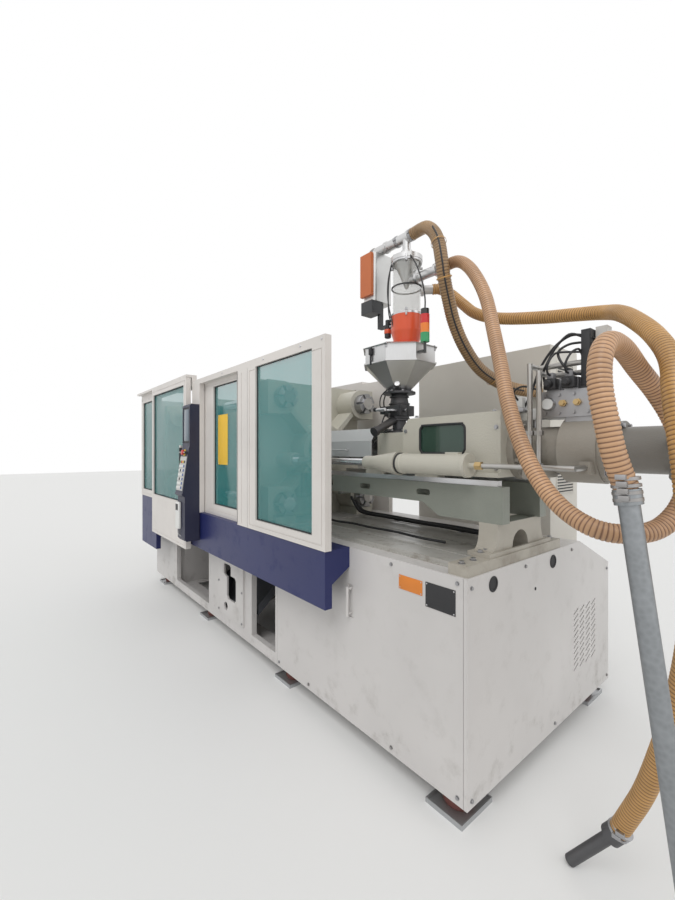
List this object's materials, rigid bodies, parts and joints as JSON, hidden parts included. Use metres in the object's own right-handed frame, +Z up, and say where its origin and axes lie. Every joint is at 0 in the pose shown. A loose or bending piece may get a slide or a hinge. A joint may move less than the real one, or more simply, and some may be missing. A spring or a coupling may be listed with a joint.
{
  "type": "injection moulding machine",
  "caption": "Horizontal plastic injection moulding machine with sliding guards, a control column, a hopper with a vacuum loader, and moving clamp and injection unit.",
  "frame": {"origin": "On the floor under the middle of the machine's outline, with its loose hoses and suction lances left out", "axes": "+X along the machine from the clamp towards the injection unit, +Y from the operator's side to the rear, +Z up"},
  "size_m": [4.9, 1.81, 2.79],
  "materials": {
    "bed_paint": "semi-gloss grey-white paint",
    "guard_paint": "semi-gloss warm white paint",
    "blue_paint": "smooth dark blue paint",
    "cast_paint": "thick beige-grey machine paint on castings",
    "beam_paint": "grey-green machine paint",
    "cabinet_paint": "fine textured beige paint",
    "dark_paint": "dark grey paint",
    "ground_steel": "ground bright",
    "sheet_steel": "stainless sheet, faintly brushed",
    "dull_steel": "dull machined steel",
    "chromed": "hard chromed and polished",
    "galvanised": "galvanised, dull",
    "brass_tip": "machined, heat tinted",
    "mount_rubber": "moulded red-brown rubber",
    "teal_pane": "clear tinted sheet",
    "dark_pane": "dark green sheet",
    "clear_pane": "clear tube",
    "screen_glass": "glossy dark screen",
    "key_plastic": "matt keys on a light film",
    "stop_red": "glossy red",
    "loader_orange": "glossy orange-red paint",
    "throat_black": "blackened iron",
    "filter_steel": "brushed sheet",
    "tower_plastic": "coloured lens sections",
    "hose_tan": "ribbed, slightly clear",
    "hose_brown": "ribbed, dark"
  },
  "bodies": {
    "machine": {"bed_frame": "bed_paint", "front_panels": "bed_paint", "end_panel": "bed_paint", "part_chute": "dark_paint", "drip_tray": "sheet_steel", "mount_steel": "dull_steel", "mount_pads": "mount_rubber", "front_skirts": "blue_paint", "fixed_platen": "cast_paint", "end_platen": "cast_paint", "tie_bars": "chromed", "tie_bar_nuts": "dull_steel", "clamp_cylinder": "cast_paint", "slide_rails": "ground_steel", "guard_frame": "guard_paint", "guard_panes": "teal_pane", "rear_guard": "guard_paint", "control_housing": "blue_paint", "control_panel": "key_plastic", "injection_base": "beam_paint", "carriage_rods": "chromed", "control_cabinet": "cabinet_paint"},
    "moving_platen": {"moving_platen": "cast_paint", "clamp_ram": "chromed", "ejector_cylinder": "dull_steel"},
    "ejector": {"ejector_plate": "ground_steel"},
    "front_door": {"front_door_frame": "guard_paint", "front_door_pane": "teal_pane"},
    "clamp_door": {"clamp_door_frame": "guard_paint", "clamp_door_pane": "teal_pane"},
    "rear_door": {"rear_door_frame": "guard_paint", "rear_door_pane": "teal_pane"},
    "injection_unit": {"carriage": "cast_paint", "carriage_windows": "dark_pane", "barrel": "dull_steel", "heater_bands": "sheet_steel", "nozzle": "brass_tip", "carriage_cylinders": "cast_paint", "injection_cylinder": "cast_paint", "screw_motor": "dark_paint", "valve_block": "dull_steel", "servo_drive": "dark_paint", "oil_pipes": "chromed", "feed_throat": "throat_black", "hopper": "sheet_steel", "loader_base": "loader_orange", "loader_glass": "clear_pane", "loader_head": "sheet_steel", "filter_housing": "filter_steel", "signal_tower": "tower_plastic", "hose_material": "hose_tan", "hose_supply": "hose_tan", "hose_vacuum": "hose_brown", "suction_lance": "galvanised"},
    "injection_ram": {"injection_ram": "ground_steel"},
    "screw": {"screw": "ground_steel"},
    "barrel_guard": {"barrel_guard": "guard_paint"},
    "gate": {"gate_slide": "ground_steel"},
    "cabinet_door": {"cabinet_door": "cabinet_paint"},
    "stop_button": {"stop_button": "stop_red"}
  },
  "joints": [
    {"name": "platen_close", "type": "slide", "parent": "machine", "child": "moving_platen", "axis": [1, 0, 0], "range_m": [0, 0.43]},
    {"name": "ejector_stroke", "type": "slide", "parent": "moving_platen", "child": "ejector", "axis": [1, 0, 0], "range_m": [0, 0.085]},
    {"name": "front_door_slide", "type": "slide", "parent": "machine", "child": "front_door", "axis": [-1, 0, 0], "range_m": [0, 0.64]},
    {"name": "clamp_door_slide", "type": "slide", "parent": "machine", "child": "clamp_door", "axis": [-1, 0, 0], "range_m": [0, 0.56]},
    {"name": "rear_door_slide", "type": "slide", "parent": "machine", "child": "rear_door", "axis": [-1, 0, 0], "range_m": [0, 0.64]},
    {"name": "carriage_retract", "type": "slide", "parent": "machine", "child": "injection_unit", "axis": [1, 0, 0], "range_m": [0, 0.33]},
    {"name": "injection_stroke", "type": "slide", "parent": "injection_unit", "child": "injection_ram", "axis": [1, 0, 0], "range_m": [0, 0.16]},
    {"name": "screw_rotation", "type": "hinge", "parent": "injection_ram", "child": "screw", "pos_m": [0.85, -0.135, 1.5], "axis": [1, 0, 0], "continuous": true},
    {"name": "barrel_guard_hinge", "type": "hinge", "parent": "injection_unit", "child": "barrel_guard", "pos_m": [0.55, 0.029, 1.454], "axis": [-1, 0, 0], "range_deg": [0, 80]},
    {"name": "gate_pull", "type": "slide", "parent": "injection_unit", "child": "gate", "axis": [0, -1, 0], "range_m": [0, 0.078]},
    {"name": "cabinet_door_hinge", "type": "hinge", "parent": "machine", "child": "cabinet_door", "pos_m": [0.51, 0.892, 1.5], "axis": [0, 0, 1], "range_deg": [0, 110]},
    {"name": "stop_press", "type": "slide", "parent": "machine", "child": "stop_button", "axis": [0, 0.9899, -0.1414], "range_m": [0, 0.005]}
  ]
}
